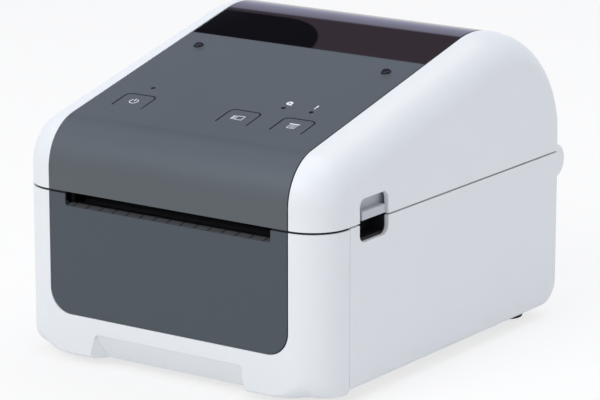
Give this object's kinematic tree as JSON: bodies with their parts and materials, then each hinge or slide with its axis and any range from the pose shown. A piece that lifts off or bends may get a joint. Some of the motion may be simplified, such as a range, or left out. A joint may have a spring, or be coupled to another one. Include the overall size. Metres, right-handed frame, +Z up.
{
  "type": "desktop label printer",
  "caption": "Desktop thermal label printer with a lifting cover, sloping control panel, smoked roll window, front media slot and a roll bin with paired guides.",
  "frame": {"origin": "on the floor under the middle of the printer's bounding box", "axes": "+X to the printer's right as seen from the front, +Y to the back, +Z up"},
  "size_m": [0.18, 0.224, 0.1521],
  "materials": {
    "white_plastic": "satin",
    "dark_plastic": "satin",
    "smoke_window": "gloss",
    "black_plastic": "matte",
    "grey_plastic": "satin",
    "gear_plastic": "satin",
    "rubber": "matte",
    "steel": "satin",
    "head_metal": "satin",
    "head_ceramic": "gloss",
    "circuit_board": "satin",
    "port_metal": "satin",
    "lamp_lens": "gloss"
  },
  "bodies": {
    "base": {"base_case": "white_plastic", "front_cover": "white_plastic", "front_panel": "dark_plastic", "tear_bar": "steel", "side_frame_left": "steel", "side_frame_right": "steel", "platen_bushings": "gear_plastic", "latch_strikes": "steel", "feed_motor": "steel", "idler_stud": "steel", "roll_bin": "black_plastic", "paper_guide": "black_plastic", "sensor_rail": "steel", "finger_pockets": "black_plastic", "main_board": "circuit_board", "power_jack": "black_plastic", "usb_port": "port_metal", "network_port": "port_metal", "usb_host_port": "port_metal", "board_screws": "steel", "pinion_stud": "steel", "feet": "rubber", "bottom_screws": "steel", "hinge_pins": "steel"},
    "platen": {"platen_roller": "rubber", "platen_shaft": "steel", "platen_gear": "gear_plastic"},
    "idler": {"idler_gear": "gear_plastic"},
    "pinion": {"motor_pinion": "gear_plastic", "motor_shaft": "steel"},
    "guide_left": {"roll_guide_left": "black_plastic", "guide_rack_left": "gear_plastic"},
    "guide_right": {"roll_guide_right": "black_plastic", "guide_rack_right": "gear_plastic"},
    "guide_wheel": {"guide_pinion": "gear_plastic"},
    "sensor": {"media_sensor": "black_plastic"},
    "cover": {"cover_shell": "white_plastic", "control_panel": "dark_plastic", "viewing_window": "smoke_window", "cover_frame": "black_plastic", "panel_board": "circuit_board", "indicator_lenses": "lamp_lens", "cover_bumpers": "rubber", "head_shaft": "steel", "head_springs": "steel", "cover_screws": "steel"},
    "head": {"head_bracket": "head_metal", "head_board": "head_ceramic"},
    "latch": {"latch_shaft": "steel", "latch_hook_left": "steel", "latch_hook_right": "steel", "release_lever_left": "grey_plastic", "release_lever_right": "grey_plastic"},
    "power_key": {"power_button": "dark_plastic"},
    "feed_key": {"feed_button": "dark_plastic"},
    "print_key": {"print_button": "dark_plastic"}
  },
  "joints": [
    {"name": "cover_hinge", "type": "hinge", "parent": "base", "child": "cover", "pos_m": [0, 0.1035, 0.0775], "axis": [-1, 0, 0], "range_deg": [0, 80]},
    {"name": "latch_release", "type": "hinge", "parent": "cover", "child": "latch", "pos_m": [0, -0.047, 0.096], "axis": [-1, 0, 0], "range_deg": [0, 8], "stiffness_Nm_per_rad": 0.8, "springref_deg": -5.73},
    {"name": "head_float", "type": "hinge", "parent": "cover", "child": "head", "pos_m": [0, -0.066, 0.092], "axis": [-1, 0, 0], "range_deg": [0, 2], "stiffness_Nm_per_rad": 10, "springref_deg": -2.86, "deforming": ["head_springs"]},
    {"name": "power_press", "type": "hinge", "parent": "cover", "child": "power_key", "pos_m": [-0.0474, -0.07885, 0.12164], "axis": [-1, 0, 0], "range_deg": [0, 2.5], "stiffness_Nm_per_rad": 0.2, "springref_deg": -1.72},
    {"name": "feed_press", "type": "hinge", "parent": "cover", "child": "feed_key", "pos_m": [0.015, -0.07885, 0.12164], "axis": [-1, 0, 0], "range_deg": [0, 2.5], "stiffness_Nm_per_rad": 0.2, "springref_deg": -1.72},
    {"name": "print_press", "type": "hinge", "parent": "cover", "child": "print_key", "pos_m": [0.0462, -0.07885, 0.12164], "axis": [-1, 0, 0], "range_deg": [0, 2.5], "stiffness_Nm_per_rad": 0.2, "springref_deg": -1.72},
    {"name": "platen_spin", "type": "hinge", "parent": "base", "child": "platen", "pos_m": [0, -0.095, 0.074], "axis": [1, 0, 0], "continuous": true},
    {"name": "idler_spin", "type": "hinge", "parent": "base", "child": "idler", "pos_m": [-0.0755, -0.08299, 0.05851], "axis": [1, 0, 0], "continuous": true},
    {"name": "pinion_spin", "type": "hinge", "parent": "base", "child": "pinion", "pos_m": [-0.0755, -0.07299, 0.04589], "axis": [1, 0, 0], "continuous": true},
    {"name": "guide_left_slide", "type": "slide", "parent": "base", "child": "guide_left", "axis": [1, 0, 0], "range_m": [0, 0.045]},
    {"name": "guide_right_slide", "type": "slide", "parent": "base", "child": "guide_right", "axis": [-1, 0, 0], "range_m": [0, 0.045]},
    {"name": "guide_wheel_spin", "type": "hinge", "parent": "base", "child": "guide_wheel", "pos_m": [0, -0.011, 0.0175], "axis": [0, 0, 1], "range_deg": [0, 323]},
    {"name": "sensor_slide", "type": "slide", "parent": "base", "child": "sensor", "axis": [1, 0, 0], "range_m": [-0.04, 0.04]}
  ],
  "couplings": [
    {"joint": "idler_spin", "follows": "platen_spin", "ratio": -0.75},
    {"joint": "pinion_spin", "follows": "platen_spin", "ratio": 1.7143},
    {"joint": "guide_right_slide", "follows": "guide_left_slide", "ratio": 1},
    {"joint": "guide_wheel_spin", "follows": "guide_left_slide", "rad_per_m": 125}
  ]
}
